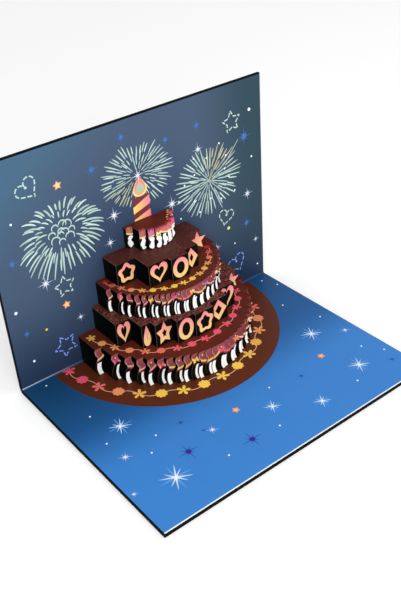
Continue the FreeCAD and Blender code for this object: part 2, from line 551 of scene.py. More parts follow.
def new_piece(name, points, faces, materials, slots=None, thickness=0.0):
    """A mesh object from points in mm, riding on the card's body.

    With a thickness, points that meet are merged and a Solidify modifier gives the sheet its depth behind
    the printed face. The second and third thirds of the materials go to its back and to its cut edges."""
    mesh = bpy.data.meshes.new(name)
    mesh.from_pydata((np.asarray(points) * MM).tolist(), [], [list(map(int, face)) for face in faces])
    for material in materials:
        mesh.materials.append(material)
    if slots is not None:
        mesh.polygons.foreach_set("material_index", np.asarray(slots, np.int32))
    if thickness:
        editable = bmesh.new()
        editable.from_mesh(mesh)
        bmesh.ops.remove_doubles(editable, verts=editable.verts, dist=0.002 * MM)
        editable.to_mesh(mesh)
        editable.free()
    mesh.validate()
    mesh.update()
    obj = bpy.data.objects.new(name, mesh)
    bpy.context.scene.collection.objects.link(obj)
    if thickness:
        solid = obj.modifiers.new("Card thickness", "SOLIDIFY")
        solid.thickness = thickness * MM
        solid.offset = -1.0
        solid.use_even_offset = True
        solid.material_offset = len(materials) // 3
        solid.material_offset_rim = 2 * (len(materials) // 3)
    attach(obj, BODY)
    return obj


# Shader nodes

def feed(tree, node, sources):
    """Give a node's inputs their sources: a socket is linked, and anything else is set as the value."""
    for key, source in sources.items():
        socket = node.inputs[key]
        if isinstance(source, bpy.types.NodeSocket):
            tree.links.new(source, socket)
        elif socket.type == "RGBA":
            socket.default_value = (*source[:3], 1.0)
        else:
            socket.default_value = source
    return node


def add_node(tree, kind, sources=(), **settings):
    """A new shader node with its settings, fed from its sources."""
    node = tree.nodes.new("ShaderNode" + kind)
    for name, value in settings.items():
        setattr(node, name, value)
    return feed(tree, node, dict(sources))


# The kind of a group's socket, by how many numbers it holds
SOCKET_KINDS = {1: "NodeSocketFloat", 3: "NodeSocketVector", 4: "NodeSocketColor"}


def shared_group(name, inputs, outputs, wire):
    """A shader node group, built once. Inputs are labels with a default, outputs are labels with how many
    numbers they hold, and wire adds the nodes between them and gives each output's source."""
    if name in bpy.data.node_groups:
        return bpy.data.node_groups[name]
    group = bpy.data.node_groups.new(name, "ShaderNodeTree")
    for label, default in inputs.items():
        socket = group.interface.new_socket(name=label, in_out="INPUT",
                                            socket_type=SOCKET_KINDS[np.size(default)])
        socket.default_value = default
    for label, count in outputs.items():
        group.interface.new_socket(name=label, in_out="OUTPUT", socket_type=SOCKET_KINDS[count])
    start = group.nodes.new("NodeGroupInput")
    end = group.nodes.new("NodeGroupOutput")
    feed(group, end, wire(group, start.outputs, add_node(group, "TexCoord").outputs["Object"]))
    return group


def paper_group():
    """Printed paper: mottled colour, fine tooth and uneven gloss.

    Colour is the ink times 1 plus the mottle's share of a soft noise; Height is a fine noise; Roughness is
    the given one plus a small share of the soft noise."""
    def wire(tree, given, place):
        soft = add_node(tree, "TexNoise", {"Vector": place, "Scale": given["Mottle Scale"], "Detail": 5.0,
                                           "Roughness": 0.6})
        fine = add_node(tree, "TexNoise", {"Vector": place, "Scale": given["Tooth Scale"], "Detail": 2.0})
        centred = add_node(tree, "Math", {0: soft.outputs["Fac"], 1: 0.5}, operation="SUBTRACT").outputs[0]
        gain = add_node(tree, "Math", {0: centred, 1: given["Mottle"], 2: 1.0}, operation="MULTIPLY_ADD")
        tint = add_node(tree, "VectorMath", {0: given["Ink"], "Scale": gain.outputs[0]}, operation="SCALE")
        spread = add_node(tree, "Math", {0: centred, 1: given["Roughness Spread"], 2: given["Roughness"]},
                          operation="MULTIPLY_ADD")
        return {"Colour": tint.outputs["Vector"], "Roughness": spread.outputs[0],
                "Height": fine.outputs["Fac"]}

    inputs = {"Ink": (0.5, 0.5, 0.5, 1.0), "Mottle": 0.12, "Mottle Scale": 120.0, "Tooth Scale": 2600.0,
              "Roughness": 0.5, "Roughness Spread": 0.12}
    return shared_group("Printed Paper", inputs, {"Colour": 4, "Roughness": 1, "Height": 1}, wire)


def share_group():
    """How far along a straight line a point lies: 0 before From, 1 past To, and eased between them."""
    def wire(tree, given, place):
        along = add_node(tree, "VectorMath", {0: place, 1: given["Direction"]}, operation="DOT_PRODUCT")
        ease = add_node(tree, "MapRange", {"Value": along.outputs["Value"], "From Min": given["From"],
                                           "From Max": given["To"]}, interpolation_type="SMOOTHSTEP")
        return {"Share": ease.outputs["Result"]}
    return shared_group("Share Along", {"Direction": (1.0, 0.0, 0.0), "From": 0.0, "To": 1.0},
                        {"Share": 1}, wire)


def near_group():
    """How near a point lies to a centre: 1 inside From, 0 outside To, and eased between them."""
    def wire(tree, given, place):
        away = add_node(tree, "VectorMath", {0: place, 1: given["Centre"]}, operation="DISTANCE")
        ease = add_node(tree, "MapRange", {"Value": away.outputs["Value"], "From Min": given["From"],
                                           "From Max": given["To"], "To Min": 1.0, "To Max": 0.0},
                        interpolation_type="SMOOTHSTEP")
        return {"Share": ease.outputs["Result"]}
    return shared_group("Share Near", {"Centre": (0.0, 0.0, 0.0), "From": 0.02, "To": 0.08},
                        {"Share": 1}, wire)


def speck_group():
    """Scattered specks: 0 where a noise is below From, 1 where it is above To."""
    def wire(tree, given, place):
        noise = add_node(tree, "TexNoise", {"Vector": place, "Scale": given["Scale"], "Detail": 3.0,
                                            "Roughness": 0.7})
        limit = add_node(tree, "MapRange", {"Value": noise.outputs["Fac"], "From Min": given["From"],
                                            "From Max": given["To"]})
        return {"Share": limit.outputs["Result"]}
    return shared_group("Specks", {"Scale": 500.0, "From": 0.5, "To": 0.7}, {"Share": 1}, wire)


# Materials

CUT_EDGE = {"mottle": 0.35, "scale": 900.0, "rough": 0.85, "tooth": 0.05}
RIM = {"mottle": 0.3, "scale": 900.0, "rough": 0.8, "tooth": 0.05, "specular": 0.05}
# Papers of one colour: which of the card's colours, and the looks
PLAIN_PAPERS = {
    "sheet_back": ("back", {"mottle": 0.3, "rough": 0.75, "specular": 0.04}),
    "sheet_core": ("core", CUT_EDGE),
    "strip_core": ("strip_core", CUT_EDGE),
    "panel_core": ("panel_core", {**CUT_EDGE, "mottle": 0.1}),
    # The upright panel's cut edges take the ink of its painted shade beside the fold
    "night_rim": ("night_fold_shade", RIM),
    "ground_rim": ("ground_dark", RIM),
    "chocolate_top": ("chocolate", {"mottle": 0.6, "rough": 0.42}),
    "glaze_front": ("glaze", {"mottle": 0.5, "scale": 140.0, "rough": 0.45, "specular": 0.04}),
    "black_board": ("board", {"mottle": 0.35, "scale": 260.0, "rough": 0.62, "tooth": 0.06,
                              "specular": 0.04}),
}


def card_material(name, ink_source, mottle=0.12, scale=120.0, rough=0.5, tooth=0.02, specular=0.12):
    """A paper material. ink_source is a colour, or a function that adds nodes and gives a colour socket."""
    if name in bpy.data.materials:
        return bpy.data.materials[name]
    material = bpy.data.materials.new(name)
    material.use_nodes = True
    tree = material.node_tree
    paper = add_node(tree, "Group", node_tree=paper_group())
    feed(tree, paper, {"Ink": ink_source(tree) if callable(ink_source) else ink_source, "Mottle": mottle,
                       "Mottle Scale": scale, "Roughness": rough})
    bump = add_node(tree, "Bump", {"Strength": 0.35, "Distance": tooth * MM,
                                   "Height": paper.outputs["Height"]})
    feed(tree, tree.nodes["Principled BSDF"], {
        "Base Color": paper.outputs["Colour"], "Roughness": paper.outputs["Roughness"],
        "Specular IOR Level": specular, "Normal": bump.outputs["Normal"]})
    return material


def plain_paper(name):
    """One of the papers of one colour."""
    tint, looks = PLAIN_PAPERS[name]
    return card_material(name, tuple(getattr(colours(), tint)), **looks)


def lay_over(tree, below, over, group, values, weight=1.0):
    """A colour socket: below, which is an ink or a socket, and the ink over it by the group's share."""
    share = feed(tree, add_node(tree, "Group", node_tree=group), values)
    strength = add_node(tree, "Math", {0: share.outputs["Share"], 1: weight}, operation="MULTIPLY")
    mix = add_node(tree, "Mix", data_type="RGBA")
    feed(tree, mix, {"Factor": strength.outputs[0], "A": below, "B": over})
    return mix.outputs["Result"]


def blend_inks(tree, below, *steps):
    """A colour socket: below, and over it each step's ink by its share along a line."""
    for over, direction, start, stop, weight in steps:
        line = {"Direction": direction, "From": start, "To": stop}
        below = lay_over(tree, below, over, share_group(), line, weight)
    return below


def night_material():
    """The upright panel: slate blue, bluer at the upper left and greener at the right edge, with painted
    shade beside the fold, and darker behind the cake where the cake's shadow is painted."""
    def source(tree):
        tint = colours()
        sky = blend_inks(tree, tint.night,
                         (tint.night_corner, (-0.6, 0.0, 0.8), 0.118, 0.168, 1.0),
                         (tint.night_edge, (1.0, 0.0, 0.0), 0.04, 0.095, 0.9),
                         # Painted shade beside the fold, eased in over the panel's lowest 75 mm
                         (tint.night_fold_shade, (0.0, 0.0, -1.0), -0.075, 0.0, 1.0))
        # The cake's painted shadow: full within 20 mm of a point behind the cake, gone by 78 mm
        shade = {"Centre": (0.0, 0.074, 0.065), "From": 0.02, "To": 0.078}
        return lay_over(tree, sky, tint.night_cake_shadow, near_group(), shade, 0.75)
    return card_material("night_print", source, mottle=0.10, scale=60.0, rough=0.42)


def ground_material():
    """The lower panel: deep blue beside the fold, and bright blue on its front half."""
    def source(tree):
        return blend_inks(tree, colours().ground_dark,
                          (colours().ground_middle, (0.18, -1.0, 0.0), -0.085, 0.0, 1.0),
                          (colours().ground_bright, (0.0, -1.0, 0.0), -0.022, 0.028, 1.0))
    return card_material("ground_print", source, mottle=0.08, scale=60.0, rough=0.42)


def fold_shadow_highlight_material():
    """The main fold: a painted highlight at its left end, and a painted shadow along the rest."""
    def source(tree):
        return blend_inks(tree, FOLD_SHADOW, (FOLD_HIGHLIGHT, (-1.0, 0.0, 0.0), 0.05, 0.1, 1.0))
    return card_material("fold_crease", source, mottle=0.5, scale=500.0, rough=0.6)


def truffle_material(tier_name):
    """The tops of the broad-stepped tiers: dark brown under scattered light specks.

    The specks are where a fine noise passes a limit, which is lower on the second tier."""
    def source(tree):
        start, stop = SPECK_LIMITS[tier_name]
        specks = {"Scale": 620.0, "From": start, "To": stop}
        return lay_over(tree, colours().truffle, colours().truffle_speck, speck_group(), specks)
    return card_material(f"truffle_{tier_name}", source, mottle=0.5, scale=90.0)


def star_material(name, foot, top):
    """A cut-out star's face, from the shapes' lower colour at its foot to their upper one at its top."""
    def source(tree):
        return blend_inks(tree, colours().motif_foot,
                          (colours().motif_top, (0.0, 0.0, 1.0), foot * MM, top * MM, 1.0))
    return card_material(f"star_face_{name}", source, scale=500.0, rough=0.4)


def ink_material(gloss):
    """Printed ink, its colour painted on the points of the shape."""
    def source(tree):
        return add_node(tree, "Attribute", attribute_type="GEOMETRY", attribute_name="ink").outputs["Color"]
    return card_material(f"ink_{round(gloss * 100)}", source, mottle=0.08, scale=700.0, rough=gloss)


# The sheet

def build_panels():
    """The two panels and the fold between them, with the opening that the cake leaves.

    The sheet is a flat pattern of columns along x and rows along its length. Its length runs back along
    the lower panel, round a quarter circle of the fold's radius, and up the upright panel."""
    front, top = SHEET_LOW.y, SHEET_HIGH.z
    left, right = SHEET_LOW.x, SHEET_HIGH.x
    y0, z0, radius = wall_y(), floor_z(), sizes().fold_radius
    fold_start = y0 - radius - front
    fold_length = radius * np.pi / 2
    plan = tier_plan()
    tiers = list(plan.values())
    columns = np.unique(np.concatenate([[left, right]] + [tier["edges"] for tier in tiers]))
    tops = np.array([tier["top"] for tier in tiers])
    rows = np.unique(np.concatenate([
        [0.0, sizes().edge_wear],
        y0 - front - tiers[0]["depths"],
        fold_start + fold_length * np.linspace(0, 1, 7),
        fold_start + fold_length + tops - radius,
        [fold_start + fold_length + top - z0 - radius],
    ]).round(6))

    def bend(along_x, along):
        turn = np.clip((along - fold_start) / radius, 0, np.pi / 2)
        past = np.maximum(along - fold_start - fold_length, 0)
        y = front + np.minimum(along, fold_start) + radius * np.sin(turn)
        z = z0 + radius * (1 - np.cos(turn)) + past
        return stacked(along_x, y, z)

    u, v = np.meshgrid(middles(columns), middles(rows))
    at = bend(u.ravel(), v.ravel())
    depth = (y0 - at[:, 1]).reshape(u.shape)
    height = (at[:, 2] - z0).reshape(u.shape)
    opened = np.zeros(u.shape, bool)
    for tier in tiers:
        inside = (u > tier["edges"][0]) & (u < tier["edges"][-1])
        opened |= inside & (height < tier["top"]) & (depth < radius)
    opened |= (depth < depth_at(tiers[0], u)) & (height < radius)
    points, quads = grid_surface(columns, rows, ~opened, bend)
    middle = points[quads].mean(1)
    raised = middle[:, 2] - z0
    worn = middle[:, 1] < front + sizes().edge_wear
    level = raised <= radius * 0.3
    # Slot 2, the upper part of the fold, takes the fold's painted shadow and painted highlight
    slots = np.select([worn, level, raised < radius * 1.01], [3, 1, 2], 0)
    crease, core = fold_shadow_highlight_material(), plain_paper("panel_core")
    materials = [night_material(), ground_material(), crease, core, *[plain_paper("sheet_back")] * 4,
                 plain_paper("night_rim"), plain_paper("ground_rim"), crease, core]
    obj = new_piece("printed_panels", points, quads, materials, slots, sizes().sheet_thickness)
    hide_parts(SHEET_NODE)


def build_tier(name):
    """One tier: its level top and its hanging strips, sharing their points along the crease.

    The top is a grid of every edge of this tier and the next by every depth of both, less the cells in
    front of this tier and behind the next. Each strip is a grid from its foot to the crease, moved
    sideways by the slit's offset. The last of the broad steps is brown in front, like its top."""
    plan = tier_plan()
    tier = plan[name]
    later = TIERS[TIERS.index(name) + 1:]
    upper = plan[later[0]] if later else {"edges": np.array([]), "depths": np.array([])}
    broad, wavy = name in BROAD_STEPS, name in WAVY_TIERS
    columns = np.unique(np.concatenate([tier["edges"], upper["edges"]]).round(6))
    depths = np.unique(np.concatenate([[0.0], tier["depths"], upper["depths"]]).round(6))
    rows = -depths[::-1]
    u, v = np.meshgrid(middles(columns), -middles(rows))
    keep = v < depth_at(tier, u)
    if later:
        keep &= v > depth_at(upper, u)

    def level(x, y):
        return stacked(x, wall_y() + y, floor_z() + tier["top"])

    surfaces = [(*grid_surface(columns, rows, keep, level), 0)]
    shares = np.linspace(0, 1, 25 if wavy else 2)
    edges = tier["edges"].round(6)
    for index, depth in enumerate(tier["depths"].round(6)):
        left, right = edges[index:index + 2]
        inner = columns[(columns >= left) & (columns <= right)]

        def hanging(x, share, width=right - left, depth=depth):
            offset = slit_offset(share) * width if wavy else 0.0
            return stacked(x + offset, wall_y() - depth, floor_z() + tier["foot"] + tier["rise"] * share)

        cells = np.ones((len(shares) - 1, len(inner) - 1), bool)
        brown = broad and index == len(tier["depths"]) - 1
        surfaces.append((*grid_surface(inner, shares, cells, hanging), 0 if brown else 1))
    points, quads, slots = joined(surfaces)
    cap = truffle_material(name) if broad else plain_paper("chocolate_top")
    back, core = plain_paper("sheet_back"), plain_paper("sheet_core" if broad else "strip_core")
    materials = [cap, plain_paper("glaze_front"), back, back, core, core]
    obj = new_piece(f"tier_{name}", points, quads, materials, slots, sizes().sheet_thickness)
    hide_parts(SHEET_NODE)


def build_star(name, radius):
    """A star cut out of the sheet, its face flush with the last step and its side point past the edge."""
    tier = tier_plan()[name]
    centre = (tier["edges"][-1] - sizes().star_inset, tier["foot"] + tier["rise"] / 2)
    outline = star_outline(radius, centre=centre)
    proud = 0.05
    front = stacked(outline[:, 0], wall_y() - tier["depths"][-1] - proud, floor_z() + outline[:, 1])
    back = front + np.array([0.0, sizes().sheet_thickness + proud, 0.0])
    n = len(outline)
    here, following = around(n)
    sides = stacked(here, here + n, following + n, following)
    faces = [list(range(n - 1, -1, -1)), list(range(n, 2 * n))] + sides.tolist()
    if facing(front, front - back) >= 0:
        faces = [face[::-1] for face in faces]
    height = floor_z() + centre[1]
    materials = [star_material(name, height - radius, height + radius), plain_paper("sheet_back"),
                 plain_paper("sheet_core")]
    obj = new_piece(f"star_{name}", np.concatenate([front, back]), faces, materials, [0, 1] + [2] * n)
    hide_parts(SHEET_NODE)


# The print on the panels

# Fireworks: centre, squash, seed, the direction about which lines turn to a straw colour, and rings. A
# ring has its inner and outer reach, how many lines, their width, and how far their ends fall
FIREWORKS = (
    ((-55.0, 94.5), 0.86, 3, None, ((16.0, 29.5, 46, 1.15, 0.3), (11.5, 19.5, 28, 0.95, 0.36))),
    ((0.5, 112.0), 0.84, 5, math.radians(235.0),
     ((15.0, 26.5, 50, 0.8, 0.04), (9.5, 18.0, 38, 0.66, 0.04), (4.5, 11.0, 18, 0.5, 0.04))),
    ((54.5, 90.0), 0.94, 9, math.radians(65.0),
     ((14.0, 27.0, 46, 0.92, 0.0), (7.5, 18.0, 36, 0.78, 0.0), (2.5, 9.5, 20, 0.6, 0.0),
      (0.3, 3.6, 9, 0.45, 0.1))),
)
SPARK_TRAIL = ((69.5, 98.4), (79.7, 110.3))
# Twinkles and dots on the upright panel: x, height, and reach or radius
WHITE_TWINKLES = ((47, 114, 5.0), (86.5, 69, 5.6), (24, 84, 7.0), (-19, 92, 6.5), (-24, 75, 5.0),
                  (93, 31, 3.5), (-71, 66, 6.5), (-52, 33, 4.0), (58, 37.7, 5.0))
BLUE_TWINKLES = ((47, 130, 5.0), (85, 111, 7.0), (-8, 139, 5.0), (23, 128, 4.5), (-30, 126, 5.5),
                 (85, 47, 5.0), (-89, 87, 5.0), (-89, 38, 4.0))
WALL_DOTS = ((90, 128, 1.1, STAR_WHITE), (91, 95, 0.7, STAR_WHITE), (74, 35, 0.55, STAR_WHITE),
             (94, 10, 0.7, STAR_WHITE), (-93, 55, 1.0, STAR_WHITE), (-88, 17, 0.8, STAR_WHITE),
             (30, 71, 0.62, STAR_WHITE), (69, 49, 1.2, LIME), (-85, 111, 0.7, STAR_WHITE),
             (-76, 35, 0.8, YELLOW))
# Dashed shapes: centre, radius or width, turn and ink
DASHED_STARS = (((75, 124), 7.4, 0.1, MINT), ((-59, 59), 7.2, 0.1, MINT),
                ((-65, 17.5), 8.2, 0.45, PALE_BLUE))
DASHED_HEARTS = (((-71, 127.5), 14.0, 0.62, MINT), ((67, 57.8), 12.6, -0.3, MINT),
                 ((75.5, 17.8), 14.8, 0.4, PALE_BLUE))
DASH_WIDTH, DASH, DASH_GAP = 0.85, 3.0, 1.2
# Twinkles on the lower panel: x, depth and reach
FLARES = ((72, 78, 8.5), (71, 121, 8.5), (-72, 122, 11.0), (-72, 68, 8.0), (5, 114, 6.5), (30, 130, 6.5))
GROUND_TWINKLES = ((-34, 106, 4.5), (-84, 91, 5.0), (91, 90, 4.0), (-96, 117, 3.0))
PURPLE_TWINKLES = ((-55, 111, 7.0), (-22, 127, 7.0))
DEEP_TWINKLES = ((37, 105, 3.0), (-44, 89, 3.0), (-38, 103, 2.0), (90, 131, 3.0))
GROUND_DOTS = ((-86, 6), (-81, 49), (-86, 75), (-61, 88), (-71, 98), (-40, 128), (-3, 129), (15, 100),
               (59, 131), (86, 109), (90, 68), (81, 41), (96, 19), (91, 8), (94, 121))
# A flare's crosses: lean, length and width as shares of its reach, inks at both ends, and layer
FLARE_CROSSES = ((-0.45, 1.0, 0.1, GHOST_RAY, GROUND_GLOW, 0), (0.5, 0.64, 0.075, STAR_WHITE, GROUND_RAY, 2),
                 (0.0, 0.86, 0.085, STAR_WHITE, GROUND_RAY, 1))
FLARE_WIDTHS = np.array([1.2, 1.1, 1.0, 0.95, 0.9, 0.85, 0.7, 0.3])


def paint_burst(sheet, centre, squash, seed, straw, rings):
    """A firework of lines that run outwards. Each line lies a little higher than the last, so that lines
    that cross don't share a plane."""
    chance = np.random.default_rng(seed)
    drawn = 0
    share = np.linspace(0, 1, 9)
    for inner, outer, count, width, fall in rings:
        angles = 2 * np.pi * (np.arange(count) + chance.uniform(-0.3, 0.3, count)) / count
        starts = inner * chance.uniform(0.85, 1.25, count)
        ends = outer * chance.uniform(0.84, 1.05, count)
        for angle, start, end in zip(angles, starts, ends):
            reach = start + (end - start) * share
            rise = reach * math.sin(angle) * squash - fall * (end - start) * share ** 2.2
            path = stacked(centre[0] + reach * math.cos(angle), centre[1] + rise)
            tint = 0.0 if straw is None else max(0.0, math.cos(angle - straw)) ** 6
            shade = np.minimum(mixed(MINT, STRAW, tint) * chance.uniform(0.8, 1.15), 1.0)
            sheet.line(on_wall, path, tapered(9, width, 0.3, 0.35), shade, LINE_LIFT * drawn)
            drawn += 1


def paint_curls(sheet, centre, rings, seed, squash):
    """The curled lines in a firework's middle. Each is an arc that rises on its inner side and falls on its
    outer side. Each ring says its reach and how many curls it has."""
    chance = np.random.default_rng(seed)
    sweep = np.linspace(np.pi, -0.2 * np.pi, 12)
    for reach, count in rings:
        for index in range(count):
            angle = 2 * np.pi * (index + chance.uniform(-0.2, 0.2)) / count
            hand = 1.0 if math.cos(angle) > 0 else -1.0
            radius = chance.uniform(1.9, 3.0)
            path = stacked(centre[0] + reach * math.cos(angle) + hand * radius * np.cos(sweep),
                           centre[1] + squash * reach * math.sin(angle) + radius * np.sin(sweep))
            sheet.line(on_wall, path, tapered(12, 0.85, 0.3, 0.35), MINT, LINE_LIFT * index + 2)


def paint_glow(sheet, place, centre, radius, bright, ground):
    """A soft light round a twinkle, from a little over half the bright ink to the ground's at its rim."""
    shade = fading(centre, radius, mixed(ground, bright, 0.55), ground)
    sheet.ring(place, disc(radius, centre, 24), disc(radius * 0.1, centre, 24), shade)


def paint_sparkle(sheet, place, centre, reach, bright, turn=0.0, fade=None, layer=1):
    """A twinkle: eight thin rays, every second one shorter, with a small bright centre. The rays pass from
    the bright ink to the fade ink at their tips."""
    middle = np.array(centre, float)
    shade = fading(centre, reach, bright, bright if fade is None else fade)
    for index in range(8):
        angle = turn + np.pi / 2 + 2 * np.pi * index / 8
        length = reach if index % 2 == 0 else reach * 0.62
        tip = np.array([math.cos(angle), math.sin(angle)])
        side = np.array([-tip[1], tip[0]]) * reach * 0.045
        outline = np.array([middle - side, middle + tip * length, middle + side, middle - tip * reach * 0.05])
        sheet.fill(place, outline, shade, layer)
    sheet.fill(place, disc(reach * 0.1, centre, 12), bright, layer + 1)


def paint_flare(sheet, centre, reach):
    """A large twinkle on the lower panel: a cross of long rays, a cross of shorter ones beside it, and a
    faint one behind both. All rays have blunt ends and fade outwards."""
    share = np.linspace(0.0, 1.0, len(FLARE_WIDTHS))
    for lean, length, width, near, far, layer in FLARE_CROSSES:
        for quarter in range(4):
            angle = FLARE_TURN + lean + quarter * math.pi / 2
            path = np.array(centre, float) + np.outer(share * reach * length,
                                                      (math.cos(angle), math.sin(angle)))
            shade = fading(centre, reach * length, near, far)
            sheet.line(on_floor, path, reach * width * FLARE_WIDTHS, shade, layer)
    sheet.fill(on_floor, disc(reach * 0.09, centre, 12), STAR_WHITE, 3)


def paint_dashes(sheet, outline, tint):
    """A dashed line round a closed outline: each dash is a stretch of the outline by its length."""
    closed = np.concatenate([outline, outline[:1]])
    lengths = lengths_along(closed)
    count = max(4, round(lengths[-1] / (DASH + DASH_GAP)))
    pitch = lengths[-1] / count
    for index in range(count):
        at = index * pitch + np.linspace(0, pitch * DASH / (DASH + DASH_GAP), 5)
        path = stacked(np.interp(at, lengths, closed[:, 0]), np.interp(at, lengths, closed[:, 1]))
        sheet.line(on_wall, path, DASH_WIDTH, tint)


def paint_fireworks():
    """The three fireworks on the upright panel, and the sparks over the last one."""
    sheet = Print()
    paint_burst(sheet, *FIREWORKS[0])
    paint_curls(sheet, (-55.0, 94.0), ((1.6, 3), (6.6, 8)), 12, 0.86)
    for firework in FIREWORKS[1:]:
        paint_burst(sheet, *firework)
    (x, z), squash = FIREWORKS[-1][:2]
    for index, angle in enumerate(np.linspace(0.3, 6.1, 14)):
        reach = 14.0 + 3.0 * (index * 2 % 5)
        at = (x + reach * math.cos(angle), z + squash * reach * math.sin(angle))
        sheet.fill(on_wall, disc(0.62, at, 10), STAR_WHITE, 2)
    sheet.line(on_wall, SPARK_TRAIL, [0.6, 0.4], MINT)
    sheet.make("print_fireworks")


def paint_wall():
    """Twinkles, dots, and dashed stars and hearts on the upright panel."""
    sheet = Print()
    for row, bright, ground, grow, turn, fade in (
            (WHITE_TWINKLES, STAR_WHITE, NIGHT_GLOW, 0.94, 0.06, WALL_RAY),
            (BLUE_TWINKLES, STAR_BLUE, BLUE_RAY, 1.15, 0.0, BLUE_RAY)):
        for x, z, reach in row:
            paint_glow(sheet, on_wall, (x, z), reach * 0.34, bright, ground)
            paint_sparkle(sheet, on_wall, (x, z), reach * grow, bright, turn, fade)
    for x, z, radius, tint in WALL_DOTS:
        sheet.fill(on_wall, disc(radius, (x, z)), tint)
    for centre in ((-53, 124), (-60, 46)):
        sheet.fill(on_wall, star_outline(3.0, 0.55, centre, 0.1), ORANGE)
        sheet.fill(on_wall, star_outline(2.0, 0.55, centre, 0.1), PEACH, 1)
    for centre, radius, turn, tint in DASHED_STARS:
        paint_dashes(sheet, star_outline(radius, 0.5, centre, turn), tint)
    for centre, width, turn, tint in DASHED_HEARTS:
        paint_dashes(sheet, turned(heart_outline(width, centre), turn, centre), tint)
        notch = disc(0.9, (centre[0], centre[1] + width * 0.16), 12)
        sheet.fill(on_wall, turned(notch, turn, centre), tint)
    sheet.make("print_twinkles")


def paint_ground():
    """Twinkles and dots on the lower panel."""
    sheet = Print()
    for x, depth, reach in FLARES:
        paint_flare(sheet, (x, depth), reach)
    for x, depth, reach in GROUND_TWINKLES:
        paint_glow(sheet, on_floor, (x, depth), reach * 0.36, STAR_WHITE, GROUND_GLOW)
        paint_sparkle(sheet, on_floor, (x, depth), reach, STAR_WHITE, 0.5, GROUND_RAY)
    for x, depth, reach in PURPLE_TWINKLES:
        paint_sparkle(sheet, on_floor, (x, depth), reach, DEEP_BLUE, 0.0, DEEP_RAY)
        sheet.fill(on_floor, disc(1.7, (x, depth)), PURPLE, 3)
    for x, depth, reach in DEEP_TWINKLES:
        paint_sparkle(sheet, on_floor, (x, depth), reach, DEEP_BLUE, 0.4)
    for centre in GROUND_DOTS:
        sheet.fill(on_floor, disc(0.6, centre, 12), CREAM)
    for centre in ((60, 99), (-13, 102)):
        sheet.fill(on_floor, star_outline(2.7, 0.6, centre, 0.4), ORANGE)
        sheet.fill(on_floor, disc(1.0, centre, 12), PEACH, 1)
    sheet.make("print_ground")


def paint_plate():
    """The cake plate: half an ellipse in front of the fold, cut away where the lowest tier stands."""
    tier = tier_plan()["first"]
    near = sizes().fold_radius + 0.2
    angles = np.linspace(0, np.pi, 73)
    outer = stacked(sizes().plate_centre - sizes().plate_half_width * np.cos(angles),
                    near + (sizes().plate_depth - near) * np.sin(angles))
    steps = np.repeat(tier["edges"], 2)[1:-1]
    depths = np.repeat(tier["depths"], 2) + 0.01
    inner = np.concatenate([[[steps[0], near]], stacked(steps, depths), [[steps[-1], near]]])
    sheet = Print()
    sheet.fill(on_floor, np.concatenate([outer, inner[::-1]]), tuple(colours().plate))
    sheet.make("print_plate", 0.4)


def vine_colour(stops, share):
    """The ink at a share of a garland, blended between evenly spaced stops."""
    places = np.linspace(0, 1, len(stops))
    return tuple(np.interp(share, places, [stop[channel] for stop in stops]) for channel in range(3))


def paint_garland(name, place, half, reach, start, stop, count, size, stops, centre):
    """A vine along an ellipse, with five-petalled flowers and scalloped blossoms in turn.

    The vine swings to either side of the ellipse by a sine of one turn for each pair of blossoms."""
    sheet = Print()
    angles = np.linspace(start, stop, 400)
    line = stacked(centre - half * np.cos(angles), reach * np.sin(angles))
    lengths = lengths_along(line)
    outwards = stacked(-np.cos(angles) / half, np.sin(angles) / reach)
    outwards /= np.linalg.norm(outwards, axis=1)[:, None]
    swing = np.sin(np.pi * lengths / lengths[-1] * (count - 1)) * size * 0.26
    vine = line + outwards * swing[:, None]
    stretch = 21
    for first in range(0, len(vine) - 2, stretch):
        part = vine[first:first + stretch + 1]
        shade = mixed(VINE, vine_colour(stops, first / len(vine)), 0.35)
        sheet.line(place, part, sizes().vine_width, shade, 1)
    for index in range(count):
        share = index / (count - 1)
        at = np.array([np.interp(share * lengths[-1], lengths, line[:, axis]) for axis in (0, 1)])
        tint = vine_colour(stops, share)
        if index % 2:
            blossom = polar(lambda angle: size * 0.5 * (1 + 0.1 * np.cos(9 * angle)), at, 0.2, 54)
            sheet.fill(place, blossom, tint, 2)
            continue
        for turn in range(5):
            angle = 0.7 * index + 2 * np.pi * turn / 5
            sheet.fill(place, petal(at, angle, size * 0.62, size * 0.27), tint, 2)
    sheet.make(name)


def paint_candle():
    """The candle on the upright panel: a banded shaft and three drops, one inside another, as its flame."""
    foot = tier_plan()["fifth"]["top"] + 0.3
    left, right, height = -5.0, 7.6, 16.0
    sheet = Print()
    shaft = np.array([[left + 0.4, foot], [right + 0.2, foot], [right - 0.3, foot + height],
                      [left, foot + height - 0.6]])
    sheet.fill(on_wall, shaft, MAROON, 1)

    def glow(points):
        return mixed(SHAFT_LEFT, SHAFT_RIGHT, (points[:, 0] - left) / (right - left))

    bands = (((0.0, 1.0), (0.0, 4.9)), ((4.9, 9.4), (8.6, 14.6)))
    for (low_left, high_left), (low_right, high_right) in bands:
        outline = np.array([[left + 0.2, foot + low_left], [right, foot + low_right],
                            [right - 0.1, foot + high_right], [left + 0.1, foot + high_left]])
        sheet.fill(on_wall, outline, glow, 2)
    x, z = 1.3, foot + height + 6.2
    for layer, (width, tall, rise, tint) in enumerate(FLAME_DROPS, 3):
        sheet.fill(on_wall, drop_outline(width, tall, (x, z + rise)), tint, layer)
    sheet.fill(on_wall, disc(2.2, (x, z - 1.5)), FLAME_HEART, 6)
    paint_sparkle(sheet, on_wall, (x - 0.6, z + 7.4), 5.2, STAR_WHITE, 0.1, layer=6)
    sheet.make("print_candle")


# The print on the strips and steps

